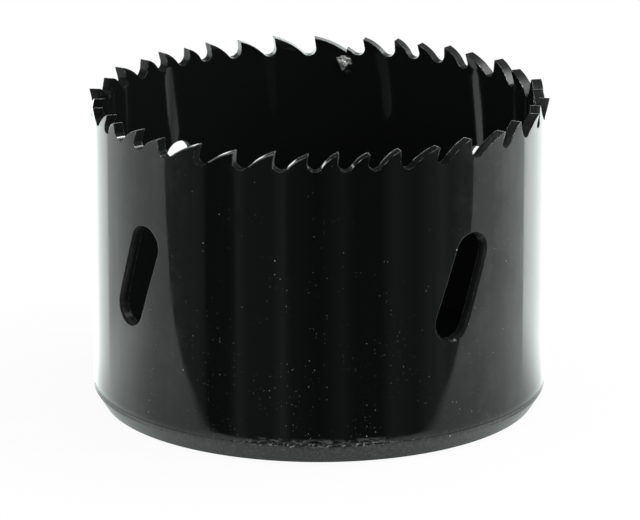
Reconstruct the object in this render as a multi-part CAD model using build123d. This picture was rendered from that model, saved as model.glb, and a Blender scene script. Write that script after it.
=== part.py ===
from build123d import *
import os
from math import atan2, cos, pi, radians, sin, tan

# A bi-metal hole saw: a toothed band of strip steel, rolled and butt welded into a
# cylinder, standing on a turned end plate that screws to an arbor.
# Millimetres, +Z up towards the teeth. The origin is the centre of the end plate's
# underside, on the saw's axis. Angles run counter-clockwise from +X, seen from above.

# Overall form
saw_diameter = 64.0
saw_height = 44.2
wall_thickness = 1.45

# Teeth: the pitch swells and shrinks in a wave along the strip
coarse_pitch = 6.1
fine_pitch = 4.1
teeth_per_wave = 8
wave_lead = 0.44
gullet_depth = 2.5
gullet_depth_swing = 0.2
gullet_radius = 1.1
rake_angle = 8.0
relief_arch = 8.0
tip_land = 0.12

# Tooth set: the tips lean out and in by turns
set_offset = 0.42
set_height = 2.05

# Butt weld where the strip's two ends meet, part-way up the back of a tooth on each side
weld_angle = 44.2
weld_to_first_tooth = 4.9
last_tooth_to_weld = 2.6
trimmed_tooth_pitch = 6.6
weld_lump_radius = 1.1
weld_lump_proud = 0.5
weld_lump_below_root = 1.4
weld_lump_spacing = 1.2
small_lump_share = 0.7

# Slots for levering out the plug
slot_count = 4
slot_length = 15.2
slot_width = 5.1
slot_lean = 20.0
slot_height_above_base = 23.5
slot_edge_bevel = 0.3

# End plate
flange_height = 2.8
spigot_height = 2.2
spigot_clearance = 0.05
base_chamfer_height = 2.15
base_chamfer_width = 1.35
seam_bevel = 0.1
spigot_bevel = 0.4

# Arbor fixing: a 5/8 inch thread, bored at its major diameter, and four drive pin holes
thread_diameter = 15.875
thread_chamfer = 0.6
pin_hole_diameter = 6.6
pin_circle_diameter = 25.4
pin_hole_count = 4
pin_hole_start = 45.0
pin_hole_chamfer = 0.4

# Worked out from the sizes above
outer_radius = saw_diameter / 2
inner_radius = outer_radius - wall_thickness
spigot_radius = inner_radius - spigot_clearance
plate_thickness = flange_height + spigot_height
set_start = saw_height - set_height
mean_pitch = (coarse_pitch + fine_pitch) / 2
pitch_swing = (coarse_pitch - fine_pitch) / 2
cut_margin = wall_thickness + set_offset
degrees_per_mm = 360 / (2 * pi * outer_radius)


def wave(tooth):
    """From -1 at the finest pitch to +1 at the coarsest."""
    return cos(2 * pi * (tooth + wave_lead) / teeth_per_wave)


def tooth_pitches():
    """Pitch after each tooth but the last, made to fill the rim from weld to weld."""
    toothed_length = pi * saw_diameter - weld_to_first_tooth - last_tooth_to_weld
    count = round(toothed_length / mean_pitch)
    pitches = [mean_pitch + pitch_swing * wave(tooth) for tooth in range(count)]
    stretch = toothed_length / sum(pitches)
    return [pitch * stretch for pitch in pitches]


def tooth_places():
    """Where each tip stands, as a length along the rim from the butt weld."""
    places = [weld_to_first_tooth]
    for pitch in tooth_pitches():
        places.append(places[-1] + pitch)
    return places


def rim_angle(place):
    return weld_angle + place * degrees_per_mm


def gullet_points(pitch, depth):
    """Rake face, round root and arched back of one gullet, as a line and two arcs.

    x runs along the rim from the tip whose face the gullet clears. The face hooks
    back under the tip, and the back climbs to the small land on the next tip.
    """
    rake = radians(rake_angle)
    face = (depth - gullet_radius * (1 + sin(rake))) / cos(rake)
    centre_x = gullet_radius * cos(rake) - face * sin(rake)
    centre_z = saw_height - depth + gullet_radius

    def on_root(angle):
        return (centre_x + gullet_radius * cos(angle), centre_z + gullet_radius * sin(angle))

    climb = atan2(depth, pitch - 2 * gullet_radius) + radians(relief_arch)
    face_end = on_root(pi - rake)
    root_middle = on_root((3 * pi - rake - pi / 2 + climb) / 2)
    root_end = on_root(climb - pi / 2)
    next_tip = (pitch - tip_land, saw_height)
    chord_x = next_tip[0] - root_end[0]
    chord_z = next_tip[1] - root_end[1]
    arch = tan((climb - atan2(chord_z, chord_x)) / 2) / 2
    back_middle = (
        root_end[0] + chord_x / 2 - arch * chord_z,
        root_end[1] + chord_z / 2 + arch * chord_x,
    )
    return [
        [(0, saw_height), face_end],
        [face_end, root_middle, root_end],
        [root_end, back_middle, next_tip],
    ]


def gullet_face(pitch, depth, middle_angle, radius):
    """The gullet's outline on a plane at one radius, narrowed to keep its sides radial."""
    squeeze = radius / outer_radius
    outline = gullet_points(pitch, depth)
    open_top = saw_height + cut_margin
    outline.append([outline[-1][-1], (pitch - tip_land, open_top)])
    outline.append([(pitch - tip_land, open_top), (0, open_top)])
    outline.append([(0, open_top), (0, saw_height)])
    edges = []
    for points in outline:
        moved = [((x - pitch / 2) * squeeze, z) for x, z in points]
        edges.append(Line(*moved) if len(moved) == 2 else ThreePointArc(*moved))
    face = make_face(Wire(edges))
    outward = (cos(radians(middle_angle)), sin(radians(middle_angle)), 0)
    along = (-outward[1], outward[0], 0)
    centre = (radius * outward[0], radius * outward[1], 0)
    return Plane(origin=centre, x_dir=along, z_dir=outward) * face


def gullet_cutter(start, pitch, depth):
    """One gullet through the wall, from inside the rim to outside it."""
    middle_angle = rim_angle(start + pitch / 2)
    inside = gullet_face(pitch, depth, middle_angle, inner_radius - cut_margin)
    outside = gullet_face(pitch, depth, middle_angle, outer_radius + cut_margin)
    return loft([inside, outside], ruled=True)


def leaning_tooth_blank(start, end, lean):
    """The wall above the set line between two angles, leaning out or in at its top."""
    outline = Polyline(
        (inner_radius, 0, set_start),
        (outer_radius, 0, set_start),
        (outer_radius + lean, 0, saw_height),
        (inner_radius + lean, 0, saw_height),
        close=True,
    )
    blank = revolve(make_face(outline), axis=Axis.Z, revolution_arc=end - start)
    return Rot(0, 0, start) * blank


def tooth_blanks():
    """Blanks for all the teeth, each from one gullet's root to the next.

    Neighbours that lean different ways then never meet above the set line.
    """
    places = tooth_places()
    blanks = []
    before = rim_angle(places[-1] + gullet_radius) - 360
    for tooth, place in enumerate(places):
        after = rim_angle(place + gullet_radius)
        lean = set_offset if tooth % 2 else -set_offset
        blanks.append(leaning_tooth_blank(before, after, lean))
        before = after
    return blanks


def weld_cutters():
    """The gullets that the strip's ends cut short, leaving a cusp at the weld."""
    reach = saw_height * 2
    past_weld = Box(reach, reach, reach, align=(Align.CENTER, Align.MIN, Align.CENTER))
    past_weld = Rot(0, 0, weld_angle) * past_weld
    start = weld_to_first_tooth - trimmed_tooth_pitch
    first = gullet_cutter(start, trimmed_tooth_pitch, gullet_depth)
    last = gullet_cutter(-last_tooth_to_weld, trimmed_tooth_pitch, gullet_depth)
    return [first & past_weld, last - past_weld]


def gullet_cutters():
    cutters = weld_cutters()
    for place, pitch in zip(tooth_places(), tooth_pitches()):
        depth = gullet_depth + gullet_depth_swing * (pitch - mean_pitch) / pitch_swing
        cutters.append(gullet_cutter(place, pitch, depth))
    return cutters


def slot_punch(angle):
    """A leaning slot pushed outward through the wall."""
    outward = (cos(radians(angle)), sin(radians(angle)), 0)
    along = (-outward[1], outward[0], 0)
    centre = (inner_radius * outward[0], inner_radius * outward[1], slot_height_above_base)
    sketch = Rot(0, 0, 90 - slot_lean) * SlotOverall(slot_length, slot_width)
    place = Plane(origin=centre, x_dir=along, z_dir=outward)
    return extrude(place * sketch, amount=wall_thickness * 2, both=True)


def weld_lump(height, share):
    """A bead of weld left proud on the band's inside, at a share of its full size."""
    radius = weld_lump_radius * share
    distance = inner_radius + radius - weld_lump_proud * share
    ball = Pos(distance, 0, height) * Sphere(radius)
    return Rot(0, 0, weld_angle) * (ball & Cylinder(outer_radius, saw_height * 3))


def saw_band():
    wall = Cylinder(outer_radius, set_start - flange_height, align=(Align.CENTER, Align.CENTER, Align.MIN))
    wall = Pos(0, 0, flange_height) * wall
    wall = chamfer(wall.edges().sort_by(Axis.Z)[0], seam_bevel)
    wall -= Cylinder(inner_radius, saw_height * 3)
    punches = [slot_punch(index * 360 / slot_count) for index in range(slot_count)]
    wall -= punches
    slot_edges = [
        edge
        for edge in wall.edges()
        if abs(edge.center().Z - slot_height_above_base) < slot_length / 2
        and edge.bounding_box().size.Z < slot_length
        and abs((edge @ 0.5).X**2 + (edge @ 0.5).Y**2 - outer_radius**2) < 0.01
    ]
    wall = chamfer(slot_edges, slot_edge_bevel)
    band = wall + tooth_blanks()
    band -= gullet_cutters()
    root = saw_height - gullet_depth
    band += weld_lump(root - weld_lump_below_root, 1)
    band += weld_lump(root - weld_lump_below_root - weld_lump_spacing, small_lump_share)
    return band


def round_edges(solid, diameter):
    circles = solid.edges().filter_by(GeomType.CIRCLE)
    return circles.filter_by(lambda edge: abs(edge.radius - diameter / 2) < 0.01)


def end_plate():
    section = Polyline(
        (0, 0, 0),
        (outer_radius - base_chamfer_width, 0, 0),
        (outer_radius, 0, base_chamfer_height),
        (outer_radius, 0, flange_height - seam_bevel),
        (outer_radius - seam_bevel, 0, flange_height),
        (spigot_radius, 0, flange_height),
        (spigot_radius, 0, plate_thickness - spigot_bevel),
        (spigot_radius - spigot_bevel, 0, plate_thickness),
        (0, 0, plate_thickness),
        close=True,
    )
    plate = revolve(make_face(section), axis=Axis.Z)
    plate -= Cylinder(thread_diameter / 2, plate_thickness * 3)
    pins = PolarLocations(pin_circle_diameter / 2, pin_hole_count, start_angle=pin_hole_start)
    plate -= [spot * Cylinder(pin_hole_diameter / 2, plate_thickness * 3) for spot in pins]
    plate = chamfer(round_edges(plate, thread_diameter), thread_chamfer)
    return chamfer(round_edges(plate, pin_hole_diameter), pin_hole_chamfer)


os.makedirs("parts", exist_ok=True)
export_step(saw_band(), "parts/saw_band.step")
export_step(end_plate(), "parts/end_plate.step")
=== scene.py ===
# %% [markdown]
# # A gloss black hole saw
# The real tool is a strip of steel, cut with teeth, rolled into a ring and welded to a round
# end plate. The CAD frame already holds those two pieces at their true size. This lesson gives
# them paint, adds the small things that a CAD part leaves out, and lights the tool as a
# catalogue would.

# %% Load the CAD frame
from math import cos, pi, radians, sin

import bpy
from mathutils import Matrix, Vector


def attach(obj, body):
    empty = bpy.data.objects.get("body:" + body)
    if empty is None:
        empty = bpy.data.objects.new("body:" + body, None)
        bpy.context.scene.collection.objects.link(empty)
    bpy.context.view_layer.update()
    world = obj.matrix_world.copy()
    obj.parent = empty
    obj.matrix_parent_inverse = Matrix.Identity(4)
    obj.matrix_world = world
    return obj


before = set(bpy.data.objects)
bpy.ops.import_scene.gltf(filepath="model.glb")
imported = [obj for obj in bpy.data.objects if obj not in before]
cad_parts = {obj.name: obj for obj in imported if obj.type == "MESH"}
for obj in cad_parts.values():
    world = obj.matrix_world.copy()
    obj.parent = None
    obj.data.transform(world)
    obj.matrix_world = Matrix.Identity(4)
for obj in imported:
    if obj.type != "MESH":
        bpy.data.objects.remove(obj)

bpy.context.view_layer.update()
print("pieces in the frame:", sorted(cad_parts))

# %% [markdown]
# ## Sizes
# Blender works in metres, so a tool this small is easier to think about in millimetres. One
# constant turns them over. The sizes below are those of the saw that the added pieces and the
# paint must fit: the ring's radii, the heights of the seam, the slots and the teeth, and the
# threaded hole.

# %% Sizes
MM = 0.001
band_radius = 32.0 * MM
band_inside = 30.55 * MM
# Near the middle of the band's wall: further out than this, a face belongs to the outside.
outer_half = 31.2 * MM
rim_height = 44.2 * MM
seam_height = 2.8 * MM
plate_thickness = 5.0 * MM
bore_radius = 7.9375 * MM
slots_from, slots_to = 14 * MM, 33 * MM
teeth_from = 36 * MM
gullets_to = 42.4 * MM
print("saw is", round(2 * band_radius / MM), "mm across and", round(rim_height / MM, 1), "mm tall")

# %% [markdown]
# ## The viewer's side
# The patterns and the studio are both laid out from the side of the saw that faces the camera,
# so its direction comes first: an angle round the saw from -Y, and an angle above the floor.

# %% Directions
camera_azimuth = radians(-38.15)
camera_height = radians(16.835)
to_camera = Vector((sin(camera_azimuth), -cos(camera_azimuth), 0))
camera_right = Vector((cos(camera_azimuth), sin(camera_azimuth), 0))
upward = Vector((0, 0, 1))
print("front of the saw:", [round(part, 3) for part in to_camera])

# %% [markdown]
# ## Writing node maths as Python
# Procedural paint is mostly arithmetic, and a tree of Math nodes is hard to read. The class
# below wraps one output socket and overloads the arithmetic operators, so that an expression
# such as 1 - mask adds the nodes by itself. Two masks joined by | give the larger of them. The
# same class serves shader trees and geometry trees, because Blender uses one Math node in both.


# %% A value that adds its own nodes
class Value:
    """One output socket that can be added, multiplied and compared like a number."""

    def __init__(self, tree, socket):
        self.tree = tree
        self.socket = socket

    def maths(self, operation, *others):
        values = dict(enumerate((self, *others)))
        return self.tree.add("ShaderNodeMath", {"operation": operation}, values)

    def __add__(self, other):
        return self.maths("ADD", other)

    def __sub__(self, other):
        return self.maths("SUBTRACT", other)

    def __rsub__(self, other):
        return self.tree.add("ShaderNodeMath", {"operation": "SUBTRACT"}, {0: other, 1: self})

    def __mul__(self, other):
        return self.maths("MULTIPLY", other)

    def __truediv__(self, other):
        return self.maths("DIVIDE", other)

    def __rtruediv__(self, other):
        return self.tree.add("ShaderNodeMath", {"operation": "DIVIDE"}, {0: other, 1: self})

    def __gt__(self, other):
        return self.maths("GREATER_THAN", other)

    def __lt__(self, other):
        return self.maths("LESS_THAN", other)

    def __or__(self, other):
        return self.maths("MAXIMUM", other)

    def __neg__(self):
        return self.maths("MULTIPLY", -1)

    def __abs__(self):
        return self.maths("ABSOLUTE")

    __radd__ = __add__
    __rmul__ = __mul__

    def ramp(self, low, high, smooth=True):
        """0 at low, 1 at high, and a soft step between them."""
        settings = {"interpolation_type": "SMOOTHSTEP" if smooth else "LINEAR"}
        sockets = {"Value": self, "From Min": low, "From Max": high}
        return self.tree.add("ShaderNodeMapRange", settings, sockets)


print("values can be added, multiplied, compared and joined")

# %% [markdown]
# ## One way to make any other node
# Every node comes from one method, which takes its kind, its settings and what goes into its
# sockets. A link and a plain number are given in the same way.


# %% A tree under construction
class Tree:
    """A node tree being built. add() makes a node and gives back one of its outputs."""

    def __init__(self, tree):
        self.nodes = tree.nodes
        self.links = tree.links

    def add(self, kind, settings=None, sockets=None, output=0):
        node = self.nodes.new(kind)
        for name, value in (settings or {}).items():
            if name == "stops":
                set_stops(node.color_ramp.elements, value)
            else:
                setattr(node, name, value)
        for key, value in (sockets or {}).items():
            if isinstance(value, Value):
                self.links.new(value.socket, node.inputs[key])
            else:
                node.inputs[key].default_value = value
        return Value(self, node.outputs[output]) if len(node.outputs) else node

    def also(self, value, output):
        """Another output of the node that a value came from."""
        return Value(self, value.socket.node.outputs[output])


def set_stops(elements, stops):
    """Fills a ramp with grey stops, given in order as pairs of place and strength."""
    for index, (place, strength) in enumerate(stops):
        stop = elements[index] if index < len(elements) else elements.new(place)
        stop.position = place
        stop.color = (strength, strength, strength, 1)


def material_tree(material):
    """Empties a material's tree, ready to be built."""
    material.use_nodes = True
    material.node_tree.nodes.clear()
    return Tree(material.node_tree)


print("node helpers ready")

# %% [markdown]
# ## Vectors, colours and noise
# A Math node would turn a colour grey, so vectors and colours have nodes of their own. These
# short names keep the recipes below readable.


# %% Vectors, colours and noise
def vector(tree, x, y, z):
    return tree.add("ShaderNodeCombineXYZ", {}, {"X": x, "Y": y, "Z": z})


def vector_maths(tree, operation, *vectors, output=0):
    settings = {"operation": operation}
    return tree.add("ShaderNodeVectorMath", settings, dict(enumerate(vectors)), output)


def dot(tree, first, second):
    """How far one vector goes along another."""
    return vector_maths(tree, "DOT_PRODUCT", first, second, output="Value")


def scaled(tree, direction, amount):
    sockets = {0: direction, "Scale": amount}
    return tree.add("ShaderNodeVectorMath", {"operation": "SCALE"}, sockets)


def upward_part(tree, direction):
    return tree.add("ShaderNodeSeparateXYZ", {}, {"Vector": direction}, output="Z")


def stretched(tree, position, x, y, z):
    """The same position with each axis scaled, to draw a pattern out along one of them."""
    return tree.add("ShaderNodeMapping", {}, {"Vector": position, "Scale": (x, y, z)})


def mixed_directions(tree, share, first, second):
    """The first direction where share is 0, the second where it is 1."""
    sockets = {0: share, 4: first, 5: second}
    return tree.add("ShaderNodeMix", {"data_type": "VECTOR"}, sockets, output=1)


def mixed_colours(tree, share, first, second):
    """The first colour where share is 0, the second where it is 1."""
    first, second = ((*c, 1) if isinstance(c, tuple) else c for c in (first, second))
    sockets = {"Factor": share, "A": first, "B": second}
    return tree.add("ShaderNodeMix", {"data_type": "RGBA"}, sockets, output="Result")


def laid_over(tree, share, under, over):
    """One finish over another, as far as share says."""
    return tree.add("ShaderNodeMixShader", {}, {0: share, 1: under, 2: over})


def noise(tree, position, scale, detail=2.0, roughness=0.5):
    sockets = {"Vector": position, "Scale": scale, "Detail": detail, "Roughness": roughness}
    return tree.add("ShaderNodeTexNoise", {}, sockets)


print("vectors, colours and noise ready")

# %% [markdown]
# ## Where things are on the saw
# Every pattern is laid out from Object coordinates: x, y and z in metres on the saw itself.
# From them come the height, the distance from the axis and the angle round it, which is what
# a maker would call a place on a ring. The angle is measured from the side that faces the
# camera, so the join of the angle, where a pattern could show a seam, falls at the back.


# %% Places on a ring
class Place:
    """Where a point is on the saw, and where the surface looks there."""

    def __init__(self, tree):
        self.position = tree.add("ShaderNodeTexCoord", output="Object")
        self.height = upward_part(tree, self.position)
        across = dot(tree, self.position, camera_right)
        ahead = dot(tree, self.position, to_camera)
        self.angle = across.maths("ARCTAN2", ahead)
        self.aside = abs(self.angle)
        self.distance = (across * across + ahead * ahead).maths("SQRT")
        level = vector_maths(tree, "MULTIPLY", self.position, (1, 1, 0))
        self.outward = scaled(tree, level, 1 / self.distance)
        self.looks = tree.also(self.position, "Normal")
        self.rise = upward_part(tree, self.looks)


print("places ready: position, height, angle, distance and outward direction")

# %% [markdown]
# ## Dust
# Gloss black paint shows every speck. Real dust lies as tiny separate crumbs, a few large and
# many small, so each size is a Voronoi pattern: a cell shows a crumb only where it is close to
# the cell's centre and where the cell's own random number is low enough. More of it lies low
# on the front, where a hand has set the saw down on the bench. The small crumbs keep together
# in patches, and most of them lie in the seam.

# %% Dust crumbs
dust_share = 0.56
dust_thins_out_at = 34 * MM
# Nearer the axis than this lie only the underside and the bore, which stay clean.
clean_within = 29 * MM
# Each size of crumb: the cell that may hold one, and the crumb's radius.
large_crumb = (1.1 * MM, 0.12 * MM)
small_crumb = (0.55 * MM, 0.070 * MM)
fine_crumb = (0.30 * MM, 0.050 * MM)


def crumbs(tree, at, kind, share):
    """Specks of one size: a share of the cells holds one."""
    cell, radius = kind
    sockets = {"Vector": at.position, "Scale": 1 / cell, "Randomness": 1.0}
    away = tree.add("ShaderNodeTexVoronoi", {}, sockets, output="Distance")
    cell_colour = tree.also(away, "Color")
    draw = tree.add("ShaderNodeSeparateColor", {}, {"Color": cell_colour}, output="Red")
    reach = (tree.also(draw, "Green") * 0.7 + 0.3) * (radius / cell)
    return (reach - away).ramp(0, 0.25 * radius / cell) * (share > draw)


def dust(tree, at, amount):
    """How much dust covers the paint, from 0 to 1."""
    low = 1 - at.height.ramp(0.0, dust_thins_out_at)
    front = 1 - at.aside.ramp(0.2, 1.5)
    share = (low * 0.8 + 0.2) * (front * 0.8 + 0.2) * (amount * dust_share)
    from_seam = abs(at.height - (seam_height + 0.2 * MM))
    in_seam = (1 - from_seam.ramp(0.15 * MM, 0.6 * MM)) * (1 - at.aside.ramp(0.3, 0.5))
    patches = noise(tree, at.position, 150, 1.0).ramp(0.42, 0.60)
    patchy = share * patches * 0.9 + in_seam
    large = crumbs(tree, at, large_crumb, share * 0.26)
    small = crumbs(tree, at, small_crumb, patchy)
    fine = crumbs(tree, at, fine_crumb, patchy)
    return large | small | fine * 0.7


print("largest crumb", round(2 * large_crumb[1] / MM, 2), "mm across")

# %% [markdown]
# ## Handling marks
# Two more veils lie on the paint. A thin blotchy film, of fingers and oil, dulls the sides of
# the ring. Just above the seam, at the front, the paint was scraped when the weld was cleaned.
# Both are noise, held in their places by masks. Part of the film runs in upright streaks, as
# the rolled strip does, and a position squashed in height draws any noise out that way.

# %% Film and scrape
film_strength = 0.06
scrape_strength = 0.26
scrape_height = 3.15 * MM


def along_the_strip(tree, at):
    """A position in which patterns run in long upright streaks."""
    return stretched(tree, at.position, 1, 1, 0.04)


def film(tree, at):
    """A faint blotchy film on the outside wall, away from the front."""
    blotches = noise(tree, at.position, 240, 4.0, 0.68).ramp(0.42, 0.72) * 0.7
    blotches = blotches + noise(tree, along_the_strip(tree, at), 1100, 2.0) * 0.5
    return blotches * at.aside.ramp(0.50, 0.85) * (at.distance > outer_half) * film_strength


def scrape(tree, at):
    """A broken grey patch along the seam at the front."""
    strip = 1 - abs(at.height - scrape_height).ramp(0.25 * MM, 0.75 * MM)
    strip = strip * (1 - at.aside.ramp(0.20, 0.42)) * (at.distance > outer_half)
    long_spots = stretched(tree, at.position, 1, 1, 2.5)
    return noise(tree, long_spots, 620, 3.0, 0.6).ramp(0.44, 0.66) * strip * scrape_strength


print("film", film_strength, "and scrape", scrape_strength)

# %% [markdown]
# ## Which face is which
# The mesh has no names for its faces, but a face can be told by where it lies and where it
# looks. A rolled wall looks straight out from the axis or straight back at it. A cut face, in
# a gullet, on a tooth or in a slot, looks along the rim or upwards. Each kind took the paint in
# its own way, so each gets a mask.

# %% Masks for the faces
above_plate = plate_thickness + 0.1 * MM
steep = 0.4


class Faces:
    """Masks, 1 on a kind of face and 0 elsewhere."""

    def __init__(self, tree, at):
        off_plate = at.height > above_plate
        self.inside = (at.distance < outer_half) * off_plate
        self.cut = 1 - abs(dot(tree, at.looks, at.outward)).ramp(0.55, 0.85)
        tooth_cut = self.cut * (at.height > teeth_from)
        self.slot_side = (self.cut - tooth_cut) * off_plate
        # Only the gullets towards the front, where the matt black below paints their shade.
        self.gullet = tooth_cut * (at.height < gullets_to) * (1 - at.aside.ramp(0.6, 0.9))
        self.rake = tooth_cut * (at.rise < steep)
        self.land = tooth_cut * (at.rise > steep)
        self.far_round = at.angle.ramp(0.9, 1.5) | (-at.angle).ramp(1.4, 2.2)


print("a face is inside the cup above", round(above_plate / MM, 1), "mm")

# %% [markdown]
# ## Soft edges
# Wet paint rounds every sharp edge, and a rounded edge catches the light. The Bevel node does
# that for shading without a change to the mesh. Three places need more than that. The bottom
# edge of the plate is turned right under, so its shading leans down from the seam. The teeth
# are set by bending, so their flanks keep the wall's own direction and their lands tip out.

# %% Directions of the surface
edge_roundness = 0.16 * MM
turn_from, turn_to = 2.0 * MM, 3.9 * MM
turn_lean = 0.62
flange_inside = 30.6 * MM
wall_middle = 31.27 * MM
flanks_from = 41.4 * MM
bend_from, bend_to = 42.1 * MM, 44.0 * MM
land_lean = 0.17


def bevel(tree, radius):
    return tree.add("ShaderNodeBevel", {"samples": 6}, {"Radius": radius})


def turned_under(tree, at):
    """Level at the top of the bottom edge, and leaning down below it."""
    down = (1 - at.height.ramp(turn_from, turn_to)) * turn_lean
    leaning = vector_maths(tree, "SUBTRACT", at.outward, vector(tree, 0, 0, down))
    return vector_maths(tree, "NORMALIZE", leaning)


def bottom_edge_mask(at):
    """1 on the flange's rim and the foot of the band, and 0 on the flat underside."""
    flange = (at.distance > flange_inside) * (at.height < seam_height)
    outside = (at.distance > outer_half) | flange
    return outside * (at.height < turn_to) * (at.rise > -0.75)


def straight_flanks(tree, at, faces, rounded):
    """The flanks of the teeth keep the wall's own direction, less so towards the tips."""
    flank = (1 - faces.cut) * (at.height > flanks_from)
    flank = flank * (1 - at.height.ramp(bend_from, bend_to, smooth=False))
    side = (at.distance > wall_middle) * 2 - 1
    return mixed_directions(tree, flank, rounded, scaled(tree, at.outward, side))


def tipped_lands(tree, at, faces, rounded):
    """The lands of the near teeth lean outwards a little."""
    lean = faces.land * (at.height > gullets_to) * (1 - faces.far_round) * land_lean
    tipped = vector_maths(tree, "ADD", rounded, scaled(tree, at.outward, lean))
    return vector_maths(tree, "NORMALIZE", tipped)


print("edges look rounded by", round(edge_roundness / MM, 2), "mm")

# %% [markdown]
# ## Where the paint has gone, and painted highlights
# Paint leaves sharp edges first, so wear starts where the rounded direction parts from the flat
# one, and noise breaks it up. The teeth have lost the most. Along the edges of the slots the
# same pale steel is a painted glint, a thin light line. On the teeth at the front left, a pale
# strip below the lands, which a wider bevel finds, is a painted highlight that widens their shine.

# %% Wear and painted highlights
worn_from = 41 * MM
# Where the painted highlight below the lands starts, and the width of the bevel that finds it.
rim_highlight_from = 42.2 * MM
rim_highlight_width = 0.42 * MM


def worn_and_glinting_edges(tree, at, rounded):
    """1 on the teeth's sharp edges where the paint has gone in places, and on the slots' edges,
    where it is a painted glint.
    """
    flat = tree.add("ShaderNodeNewGeometry", output="True Normal")
    edge = (1 - dot(tree, rounded, flat)).ramp(0.03, 0.16)
    broken = noise(tree, at.position, 1400, 3.0, 0.6).ramp(0.44, 0.62)
    # By the slots the pale edge is a painted glint, a thin light line, not wear.
    slot_edge_glint = (at.height > slots_from) * (at.height < slots_to) * 0.45
    return edge * broken * ((at.height > worn_from) | slot_edge_glint)


def painted_rim_highlight(tree, at, faces):
    """A painted highlight: a pale strip just below the lands, at the front left."""
    leans_up = upward_part(tree, bevel(tree, rim_highlight_width)) - at.rise
    strip = leans_up.ramp(0.12, 0.34) * (1 - faces.cut) * (at.height > rim_highlight_from)
    front_left = (1 - at.angle.ramp(-0.14, -0.02)) * at.angle.ramp(-0.80, -0.62)
    return strip * front_left * 0.8


print("wear on the teeth starts at", round(worn_from / MM, 1), "mm")

# %% [markdown]
# ## The paint
# The band and the plate wear one coat of gloss black enamel. A dark base colour with a low
# roughness gives the mirror-like shine, and the normal Fresnel rise at a glancing angle does
# the rest. Strip steel is never quite flat: a bump stretched along the height gives the faint
# upright streaks that rolling leaves. Cut faces took a thinner, duller coat. A matt black
# without gloss is painted shade in the gullets at the front, and partly so on the slots' sides.

# %% Colours of the saw
black = (0.0022, 0.0027, 0.0025)
plate_black = (0.0030, 0.0036, 0.0034)
# Thinner paint inside the cup; the same black is the matt painted shade in the near gullets and
# slots.
thin_and_shade_black = (0.008, 0.009, 0.0085)
scuffed_black = (0.045, 0.048, 0.046)
dust_grey = (0.36, 0.37, 0.365)
steel_and_highlight_grey = (0.50, 0.51, 0.50)
scuffs_full_below, scuffs_end_at = 2.6 * MM, 3.6 * MM
print("paint", black, "and dust", dust_grey)


# %% The gloss coat
def coat_colour(tree, at, faces, colour, bottom_edge):
    """Thinner inside the cup, and scuffed on the bottom edge."""
    scuffs = noise(tree, at.position, 1900, 3.0, 0.7).ramp(0.40, 0.75) * bottom_edge
    scuffs = scuffs * (1 - at.height.ramp(scuffs_full_below, scuffs_end_at))
    shade = mixed_colours(tree, faces.inside, colour, thin_and_shade_black)
    return mixed_colours(tree, scuffs, shade, scuffed_black)


def gloss_coat(tree, at, faces, shade, soft, gloss, orange_peel):
    """The paint itself, without wear or dust."""
    dull = faces.gullet * 0.3 | faces.rake * 0.25 | faces.land * faces.far_round * 0.25
    dull = dull | faces.slot_side * 0.10
    upright = along_the_strip(tree, at)
    streaks = noise(tree, upright, 260, 1.0)
    waves = noise(tree, upright, 90, 0.0)
    peel = noise(tree, at.position, 1500, 2.0)
    relief = streaks * 0.010 + waves * 0.022 + peel * (dull * 0.12 + orange_peel)
    sockets = {"Height": relief, "Strength": 1.0, "Distance": 0.3 * MM, "Normal": soft}
    surface = tree.add("ShaderNodeBump", {}, sockets)
    smudge = noise(tree, at.position, 150, 4.0, 0.6).ramp(0.5, 0.75) * (1 - faces.inside)
    sockets = {"Base Color": shade, "Roughness": smudge * 0.10 + dull + gloss}
    sockets |= {"IOR": 1.5, "Normal": surface}
    return tree.add("ShaderNodeBsdfPrincipled", {}, sockets)


print("gloss coat ready")

# %% [markdown]
# ## From the coat to the finished surface
# The finishes are laid over one another: the gloss coat, a matt black painting the shade in the
# near gullets and slots, pale steel for wear and for painted highlights, and dust on top.


# %% Enamel with wear, dust, painted shade and painted highlights
def plain_finish(tree, colour, sockets):
    """A finish of one colour all over."""
    return tree.add("ShaderNodeBsdfPrincipled", {}, {"Base Color": (*colour, 1)} | sockets)


def enamel(material, colour, gloss, orange_peel, dust_amount):
    tree = material_tree(material)
    at = Place(tree)
    faces = Faces(tree, at)
    rounded = straight_flanks(tree, at, faces, bevel(tree, edge_roundness))
    tipped = tipped_lands(tree, at, faces, rounded)
    bottom_edge = bottom_edge_mask(at)
    soft = mixed_directions(tree, bottom_edge, tipped, turned_under(tree, at))
    shade = coat_colour(tree, at, faces, colour, bottom_edge)
    surface = gloss_coat(tree, at, faces, shade, soft, gloss, orange_peel)

    # A matt black without gloss: painted shade in the gullets at the front, and a duller cut coat
    # partly painted as shade on the slots' sides.
    matt = plain_finish(tree, thin_and_shade_black, {"Roughness": 0.6, "Specular IOR Level": 0.0})
    thin_coat_and_painted_shade = faces.gullet * 0.95 | (faces.slot_side > 0) * 0.9
    surface = laid_over(tree, thin_coat_and_painted_shade, surface, matt)

    # Pale steel on worn tooth edges, and as painted highlights on the slots' edges and below the
    # near lands.
    steel = plain_finish(tree, steel_and_highlight_grey, {"Roughness": 0.35, "Metallic": 0.6})
    worn_and_highlight = worn_and_glinting_edges(tree, at, rounded) | painted_rim_highlight(tree, at, faces)
    surface = laid_over(tree, worn_and_highlight, surface, steel)

    crumb = plain_finish(tree, dust_grey, {"Roughness": 0.9})
    open_to_dust = (1 - faces.inside) * (at.distance > clean_within)
    specks = dust(tree, at, dust_amount) * open_to_dust | film(tree, at) | scrape(tree, at)
    surface = laid_over(tree, specks, surface, crumb)
    tree.add("ShaderNodeOutputMaterial", {}, {"Surface": surface})


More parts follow.
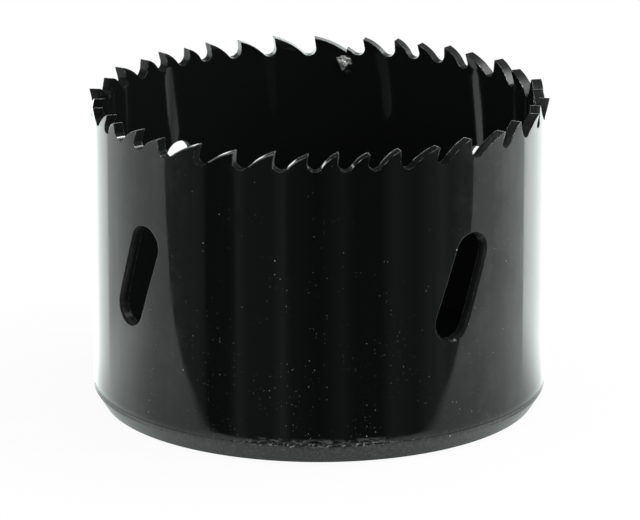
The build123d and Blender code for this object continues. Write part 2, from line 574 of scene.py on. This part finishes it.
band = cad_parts["saw_band"]
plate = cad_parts["end_plate"]
band_paint = band.material_slots[0].material
plate_paint = plate.material_slots[0].material
enamel(band_paint, black, gloss=0.05, orange_peel=0.004, dust_amount=1.0)
enamel(plate_paint, plate_black, gloss=0.12, orange_peel=0.012, dust_amount=1.6)
print("painted:", band.name, "and", plate.name)

# %% [markdown]
# ## Pieces that follow a rule
# A screw thread, a bead of paint round a seam and a spot of weld are easy to say as a rule
# and slow to draw by hand, so Geometry Nodes make them.


# %% From a rule to a mesh
def made_by_rule(name, sizes, build, material):
    """A mesh piece made by a geometry tree. build(tree, size) gives back its geometry."""
    group = bpy.data.node_groups.new(name, "GeometryNodeTree")
    for label in sizes:
        group.interface.new_socket(label, in_out="INPUT", socket_type="NodeSocketFloat")
    group.interface.new_socket("Geometry", in_out="OUTPUT", socket_type="NodeSocketGeometry")
    tree = Tree(group)
    given = tree.add("NodeGroupInput")
    size = {label: tree.also(given, label) for label in sizes}
    shape = build(tree, size)
    shape = tree.add("GeometryNodeSetShadeSmooth", {}, {"Geometry": shape})
    shape = tree.add("GeometryNodeRealizeInstances", {}, {"Geometry": shape})
    shape = tree.add("GeometryNodeSetMaterial", {}, {"Geometry": shape, "Material": material})
    tree.add("NodeGroupOutput", {}, {"Geometry": shape})

    piece = bpy.data.objects.new(name, bpy.data.meshes.new(name + " start"))
    bpy.context.collection.objects.link(piece)
    modifier = piece.modifiers.new(name, "NODES")
    modifier.node_group = group
    for item in group.interface.items_tree:
        if item.in_out == "INPUT":
            modifier[item.identifier] = float(sizes[item.name])
    graph = bpy.context.evaluated_depsgraph_get()
    mesh = bpy.data.meshes.new_from_object(piece.evaluated_get(graph))
    piece.modifiers.clear()
    piece.data = mesh
    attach(piece, "root")
    print(name, "has", len(mesh.polygons), "faces")
    return piece


def raised(tree, path, height):
    """A path lifted to a height, with its section kept upright."""
    lift = vector(tree, 0, 0, height)
    path = tree.add("GeometryNodeTransform", {}, {"Geometry": path, "Translation": lift})
    return tree.add("GeometryNodeSetCurveNormal", {"mode": "Z_UP"}, {"Curve": path})


print("rule helpers ready")

# %% [markdown]
# ## The arbor thread
# The plate screws to an arbor by a fine thread, 18 turns to the inch, so each turn climbs
# 1.41 mm. The CAD bore is plain, at the thread's major diameter. A spiral curve runs up its
# wall, and a small blunt wedge swept along it leaves a ridge standing inwards. The ridge
# shrinks to nothing at both ends, as a tap leaves it at a countersink. The steel is bright
# from the tap, with dark oil left on it in places.

# %% Cut steel
clean_steel = (0.30, 0.30, 0.29)
oily_steel = (0.05, 0.048, 0.045)
thread_steel = bpy.data.materials.new("tapped steel")
tree = material_tree(thread_steel)
position = tree.add("ShaderNodeTexCoord", output="Object")
tool_marks = noise(tree, stretched(tree, position, 1, 1, 8), 900, 3.0)
oil = noise(tree, position, 420, 3.0).ramp(0.45, 0.7)
tone = mixed_colours(tree, oil, clean_steel, oily_steel)
sockets = {"Height": tool_marks, "Strength": 0.4, "Distance": 0.1 * MM}
marks = tree.add("ShaderNodeBump", {}, sockets)
sockets = {"Base Color": tone, "Metallic": 0.9, "Roughness": tool_marks * 0.2 + 0.25}
steel = tree.add("ShaderNodeBsdfPrincipled", {}, sockets | {"Normal": marks})
tree.add("ShaderNodeOutputMaterial", {}, {"Surface": steel})
print("made:", thread_steel.name)

# %% Arbor thread
thread_pitch = 25.4 / 18 * MM


def thread_ridge(tree, size):
    turns = size["length"] / size["pitch"]
    sockets = {"Resolution": 72, "Rotations": turns, "Height": size["length"]}
    sockets |= {"Start Radius": size["bore radius"], "End Radius": size["bore radius"]}
    path = tree.add("GeometryNodeCurveSpiral", {}, sockets)
    path = raised(tree, path, size["first height"])
    foot = size["ridge foot"] / 2
    crest = size["ridge crest"] / 2
    depth = size["ridge depth"]
    corners = [(-foot, 0), (foot, 0), (crest, depth), (-crest, depth)]
    sockets = {f"Point {n}": vector(tree, x, y, 0) for n, (x, y) in enumerate(corners, start=1)}
    wedge = tree.add("GeometryNodeCurvePrimitiveQuadrilateral", {"mode": "POINTS"}, sockets)
    along = tree.add("GeometryNodeSplineParameter", output="Factor")
    swell = along.ramp(0, 0.12) * (1 - along).ramp(0, 0.12)
    swept = {"Curve": path, "Profile Curve": wedge, "Scale": swell, "Fill Caps": True}
    return tree.add("GeometryNodeCurveToMesh", {}, swept)


thread_sizes = {
    "bore radius": bore_radius + 0.03 * MM,
    "length": plate_thickness - 1.3 * MM,
    "first height": 0.65 * MM,
    "pitch": thread_pitch,
    "ridge foot": 1.23 * MM,
    "ridge crest": 0.30 * MM,
    "ridge depth": 0.68 * MM,
}
thread = made_by_rule("arbor_thread", thread_sizes, thread_ridge, thread_steel)

# %% [markdown]
# ## The bead round the seam
# Where the band meets the plate, weld and paint have run into the joint. It is nearly flush
# for most of the way round, and lumpy and gritty at the front, where the weld was started. A
# circle of many short lengths carries a small round section, and noise makes the section swell
# and shrink and the line wander. Where it is flush, its shading turns under with the plate's
# bottom edge, so that no line shows.

# %% Grit in the seam
seam_black = (0.006, 0.007, 0.0065)
pale_grit = (0.26, 0.27, 0.265)
seam_grit = bpy.data.materials.new("seam grit")
tree = material_tree(seam_grit)
at = Place(tree)
gritty = 1 - at.aside.ramp(0.30, 0.62)
grains = noise(tree, at.position, 2400, 3.0, 0.65)
tone = mixed_colours(tree, grains.ramp(0.50, 0.68) * gritty, seam_black, pale_grit)
sockets = {"Height": grains * gritty, "Strength": 0.6, "Distance": 0.12 * MM}
rough = tree.add("ShaderNodeBump", {}, sockets)
surface = mixed_directions(tree, gritty, turned_under(tree, at), rough)
sockets = {"Base Color": tone, "Roughness": gritty * 0.30 + 0.10, "Normal": surface}
paint = tree.add("ShaderNodeBsdfPrincipled", {}, sockets)
tree.add("ShaderNodeOutputMaterial", {}, {"Surface": paint})
print("made:", seam_grit.name)


# %% Seam bead
def seam_bead_shape(tree, size):
    sockets = {"Resolution": 1100, "Radius": size["radius"]}
    path = tree.add("GeometryNodeCurvePrimitiveCircle", {}, sockets)
    path = raised(tree, path, size["height"])
    sockets = {"Resolution": 7, "Radius": size["thickness"]}
    section = tree.add("GeometryNodeCurvePrimitiveCircle", {}, sockets)
    position = tree.add("GeometryNodeInputPosition")
    facing = dot(tree, position, to_camera) / size["radius"]
    lumpy = facing.ramp(0.93, 0.985)
    swell = noise(tree, position, 420, 3.0) * lumpy * 2.4 + lumpy * 0.3 + 0.85
    swept = {"Curve": path, "Profile Curve": section, "Scale": swell}
    bead = tree.add("GeometryNodeCurveToMesh", {}, swept)
    wander = (noise(tree, position, 700, 2.0) - 0.5) * (lumpy * 0.97 + 0.03)
    shift = vector(tree, 0, 0, wander * size["wander"])
    return tree.add("GeometryNodeSetPosition", {}, {"Geometry": bead, "Offset": shift})


bead_sizes = {
    "radius": band_radius - 0.15 * MM,
    "height": seam_height,
    "thickness": 0.15 * MM,
    "wander": 0.5 * MM,
}
seam_bead = made_by_rule("seam_bead", bead_sizes, seam_bead_shape, seam_grit)

# %% [markdown]
# ## Weld spatter
# The strip's ends are butt welded, and the weld has left a rough bright bead inside the rim,
# just under the cusp. A ball pushed in and out by two sizes of noise, and flattened against
# the wall, has the right popcorn shape.

# %% Bare weld metal
weld_grey = (0.20, 0.20, 0.19)
weld_bright = (0.80, 0.81, 0.80)
weld_metal = bpy.data.materials.new("bare weld")
tree = material_tree(weld_metal)
position = tree.add("ShaderNodeTexCoord", output="Object")
pits = noise(tree, position, 2600, 4.0, 0.6)
tone = mixed_colours(tree, pits.ramp(0.35, 0.6), weld_grey, weld_bright)
sockets = {"Height": pits, "Strength": 0.8, "Distance": 0.15 * MM}
rough = tree.add("ShaderNodeBump", {}, sockets)
sockets = {"Base Color": tone, "Metallic": 0.45, "Roughness": pits * 0.3 + 0.3}
steel = tree.add("ShaderNodeBsdfPrincipled", {}, sockets | {"Normal": rough})
tree.add("ShaderNodeOutputMaterial", {}, {"Surface": steel})
print("made:", weld_metal.name)

# %% Weld spatter
spatter_azimuth = radians(44.8)
# Flattened against the wall: thin outwards, widest along the rim.
flattened = (0.62, 0.95, 0.85)


def spatter_shape(tree, size):
    sockets = {"Radius": size["radius"], "Subdivisions": 5}
    ball = tree.add("GeometryNodeMeshIcoSphere", {}, sockets)
    position = tree.add("GeometryNodeInputPosition")
    coarse = noise(tree, position, 1100, 1.0) - 0.5
    fine = noise(tree, position, 3200, 2.0) - 0.5
    shift = scaled(tree, position, coarse * 1.5 + fine * 0.6)
    lump = tree.add("GeometryNodeSetPosition", {}, {"Geometry": ball, "Offset": shift})
    x = size["distance"] * cos(spatter_azimuth)
    y = size["distance"] * sin(spatter_azimuth)
    sockets = {"Geometry": lump, "Translation": vector(tree, x, y, size["height"])}
    sockets |= {"Rotation": (0, 0, spatter_azimuth), "Scale": flattened}
    return tree.add("GeometryNodeTransform", {}, sockets)


spatter_sizes = {"radius": 1.05 * MM, "distance": band_inside, "height": 40.7 * MM}
spatter = made_by_rule("weld_spatter", spatter_sizes, spatter_shape, weld_metal)

# %% [markdown]
# ## The studio
# The saw stands on white paper whose front edge lies just before it. Behind and beside it is
# a white tent, and the camera's side of the room is dark. A gloss black wall is a mirror, so
# those three things are nearly all that it shows: grey sides, a black front and a pale band
# near the floor. The room is a ring of light strengths by direction, kept in one colour ramp.
# The camera itself sees plain white, as a catalogue page shows it.

# %% The room's ring of light
# Direction from the front in degrees, positive to the camera's right, and strength there.
room_ring = [
    (-180, 2.0), (-158, 3.1), (-136, 2.5), (-133.5, 1.42), (-122, 1.3), (-110, 1.02),
    (-84.7, 0.86), (-83.2, 0.19), (-61, 0.17), (-58, 0.04), (-46, 0.05), (-41, 0.22),
    (-36, 0.11), (-24, 0.10), (-18, 0.22), (-14, 0.08), (0, 0.03), (12, 0.11), (18, 0.04),
    (32, 0.04), (38, 0.15), (50, 0.08), (64, 0.25), (70, 0.16), (87, 0.22), (88.5, 0.80),
    (97, 1.06), (114, 1.26), (126.5, 1.45), (128, 3.2), (146, 3.1), (180, 2.0),
]
# A ramp holds strengths up to 1, so they are divided by this and multiplied again.
brightest = 4.0
# The tent ends at this rise, as a share of the direction's length, and the ceiling is dim.
tent_top = 0.20
ceiling = 0.12
# A dim window over the camera lights the faces that lean back.
window_light = 0.15
print("room ring has", len(room_ring), "stops")


# %% Light by direction
def room_light(tree, direction):
    """Strength of the room's light in a direction, from the ring above."""
    across = dot(tree, direction, camera_right)
    ahead = dot(tree, direction, to_camera)
    turn = across.maths("ARCTAN2", ahead) / (2 * pi) + 0.5
    stops = [(degrees / 360 + 0.5, strength / brightest) for degrees, strength in room_ring]
    ring = tree.add("ShaderNodeValToRGB", {"stops": stops}, {"Fac": turn}, output="Color")
    ring = tree.add("ShaderNodeSeparateColor", {}, {"Color": ring}, output="Red") * brightest
    rise = upward_part(tree, direction)
    above = rise.ramp(tent_top, tent_top + 0.06)
    ring = ring * (rise.ramp(0.0, 0.06) * 0.4 + 1)
    window = ahead.ramp(0.35, 0.6) * rise.ramp(0.04, 0.12) * window_light
    return ring * (1 - above) + ceiling * above + window


print("tent ends at a rise of", tent_top, "and the ceiling has", ceiling)

# %% [markdown]
# ## Who sees which light
# A Light Path node tells what kind of ray asks. A mirror-like ray gets the ring, the camera
# gets white, and every other ray gets an even light, so that dust and bare metal look as they
# would in a plain room. What is mirrored is a touch green, as light through a tent is.

# %% The world
even_light = 0.7
plain_white = (1, 1, 1)
mirror_tint = (0.92, 1.0, 0.98)
world = bpy.data.worlds.new("room")
bpy.context.scene.world = world
world.use_nodes = True
world.node_tree.nodes.clear()
tree = Tree(world.node_tree)
direction = tree.add("ShaderNodeTexCoord", output="Generated")
to_the_eye = tree.add("ShaderNodeLightPath", output="Is Camera Ray")
mirrored = tree.also(to_the_eye, "Is Glossy Ray")
spread = (1 - to_the_eye) * (1 - mirrored)
strength = room_light(tree, direction) * mirrored + spread * even_light + to_the_eye
tint = mixed_colours(tree, mirrored, plain_white, mirror_tint)
air = tree.add("ShaderNodeBackground", {}, {"Color": tint, "Strength": strength})
tree.add("ShaderNodeOutputWorld", {}, {"Surface": air})
print("world:", world.name, "with an even light of", even_light)

# %% [markdown]
# ## The floor
# The floor is white and keeps a soft shadow under the saw. To the camera it is nearly the
# white of the page, with a little of its real shading mixed in. In the saw's own reflections
# only the paper shows: past its front edge, and far behind, the floor lets a reflected ray
# through to the room. That edge is blurred close to the saw, as the paint blurs it. The
# mirrored paper is not one grey: it is brightest behind the saw, and dim where the saw shades
# it. From below, the floor can be looked through, so that the underside shows.

# %% The floor's sizes and strengths
floor_size = 3.0
# Just under the saw, so that two flat faces don't share one level.
floor_drop = 0.01 * MM
paper_edge = 34.0 * MM
paper_flare = 3.5 * MM
paper_white = (0.86, 0.87, 0.865)
page_before = 0.77
page_far_off = 0.92
page_behind = 2.4
page_in_shade = 0.75
shadow_strength = 0.06
bpy.ops.mesh.primitive_plane_add(size=floor_size, location=(0, 0, -floor_drop))
floor = bpy.context.object
floor.name = "floor"
print("floor", floor_size, "m across")


# %% The paper that the saw mirrors
def glow(tree, colour, strength):
    sockets = {"Color": (*colour, 1), "Strength": strength}
    return tree.add("ShaderNodeEmission", {}, sockets)


def mirrored_page(tree, ahead, rightwards, from_saw):
    """What a reflected ray finds on the paper."""
    page = glow(tree, mirror_tint, page_before)
    far_off = from_saw.ramp(45 * MM, 75 * MM)
    page = laid_over(tree, far_off, page, glow(tree, mirror_tint, page_far_off))
    behind = 1 - ahead.ramp(-14 * MM, 22 * MM, smooth=False)
    behind = behind * (1 - from_saw.ramp(60 * MM, 120 * MM))
    behind = behind * (1 - rightwards.ramp(-5 * MM, 25 * MM) * 0.45)
    page = laid_over(tree, behind, page, glow(tree, mirror_tint, page_behind))
    in_shade = (1 - from_saw.ramp(32 * MM, 35 * MM)) * (1 - ahead.ramp(12 * MM, 30 * MM))
    return laid_over(tree, in_shade, page, glow(tree, mirror_tint, page_in_shade))


def paper_reach(ahead, rightwards, from_saw):
    """1 where a reflected ray meets the paper, and 0 where it goes on to the room."""
    edge = abs(rightwards).ramp(22 * MM, 45 * MM) * paper_flare + paper_edge
    blur = (1 - from_saw.ramp(40 * MM, 95 * MM)) * (4.5 * MM) + 0.3 * MM
    return ((edge - ahead) / blur + 0.5).ramp(0, 1) * ahead.ramp(-25 * MM, 8 * MM)


print("paper edge", round(paper_edge / MM), "mm before the axis")

# %% White paper
floor_paint = bpy.data.materials.new("white paper")
tree = material_tree(floor_paint)
position = tree.add("ShaderNodeTexCoord", output="Object")
ahead = dot(tree, position, to_camera)
rightwards = dot(tree, position, camera_right)
from_saw = (rightwards * rightwards + ahead * ahead).maths("SQRT")
mirrored = tree.add("ShaderNodeLightPath", output="Is Glossy Ray")
to_the_eye = tree.also(mirrored, "Is Camera Ray")
in_gloss = mirrored_page(tree, ahead, rightwards, from_saw)
page = laid_over(tree, mirrored, glow(tree, plain_white, 1.0), in_gloss)
sheet = tree.add("ShaderNodeBsdfDiffuse", {}, {"Color": (*paper_white, 1)})
shadow = (1 - from_saw.ramp(45 * MM, 110 * MM)) * shadow_strength
seen = laid_over(tree, to_the_eye * (1 - shadow) + mirrored, sheet, page)
clear = tree.add("ShaderNodeBsdfTransparent")
from_below = tree.add("ShaderNodeNewGeometry", output="Backfacing")
gone = mirrored * (1 - paper_reach(ahead, rightwards, from_saw)) | from_below
surface = laid_over(tree, gone, seen, clear)
tree.add("ShaderNodeOutputMaterial", {}, {"Surface": surface})
floor.data.materials.append(floor_paint)
print("made:", floor_paint.name)

# %% [markdown]
# ## The lamps
# One soft lamp hangs above, behind and to the right. It lights the dust and the bare metal and
# lays the soft shadow on the floor. A smaller, harder one hangs beside it, a little nearer the
# camera, and puts the bright glints on the lands and in the gullets.


# %% Two lamps
def hang_lamp(name, size, watts, direction, distance):
    """A round lamp in a direction from the saw, turned to face it."""
    data = bpy.data.lights.new(name, "AREA")
    data.shape = "DISK"
    data.size = size
    data.energy = watts
    lamp = bpy.data.objects.new(name, data)
    bpy.context.collection.objects.link(lamp)
    direction = direction.normalized()
    lamp.location = direction * distance
    lamp.rotation_euler = (-direction).to_track_quat("-Z", "Y").to_euler()
    print(name, size, "m wide,", watts, "W")


soft_direction = camera_right * 0.49 - to_camera * 0.15 + upward * 0.83
core_direction = camera_right * 0.55 + to_camera * 0.15 + upward * 0.80
hang_lamp("soft lamp", size=0.45, watts=3.2, direction=soft_direction, distance=1.0)
hang_lamp("lamp core", size=0.16, watts=2.4, direction=core_direction, distance=0.98)

# %% [markdown]
# ## The camera
# A long lens, well back, keeps the ring's walls almost upright, as a catalogue likes them.
# The camera looks down a little, so the far teeth show over the near ones.

# %% The camera
distance_from_saw = 857.5 * MM
lens_millimetres = 340.9
pivot_height = 21.12 * MM
aim_height = 19.77 * MM
aim_to_the_right = 0.16 * MM
back = to_camera * cos(camera_height) + upward * sin(camera_height)
aim = upward * aim_height + camera_right * aim_to_the_right
camera_data = bpy.data.cameras.new("camera")
camera_data.lens = lens_millimetres
camera = bpy.data.objects.new("camera", camera_data)
bpy.context.collection.objects.link(camera)
camera.location = upward * pivot_height + back * distance_from_saw
camera.rotation_euler = (aim - camera.location).to_track_quat("-Z", "Y").to_euler()
bpy.context.scene.camera = camera
bpy.context.scene.view_settings.view_transform = "Standard"
print("camera at", [round(value, 3) for value in camera.location])

# %% [markdown]
# ## The end
# The view layer is brought up to date. Paint and small pieces must not make the tool
# bigger.

# %% Finish
bpy.context.view_layer.update()
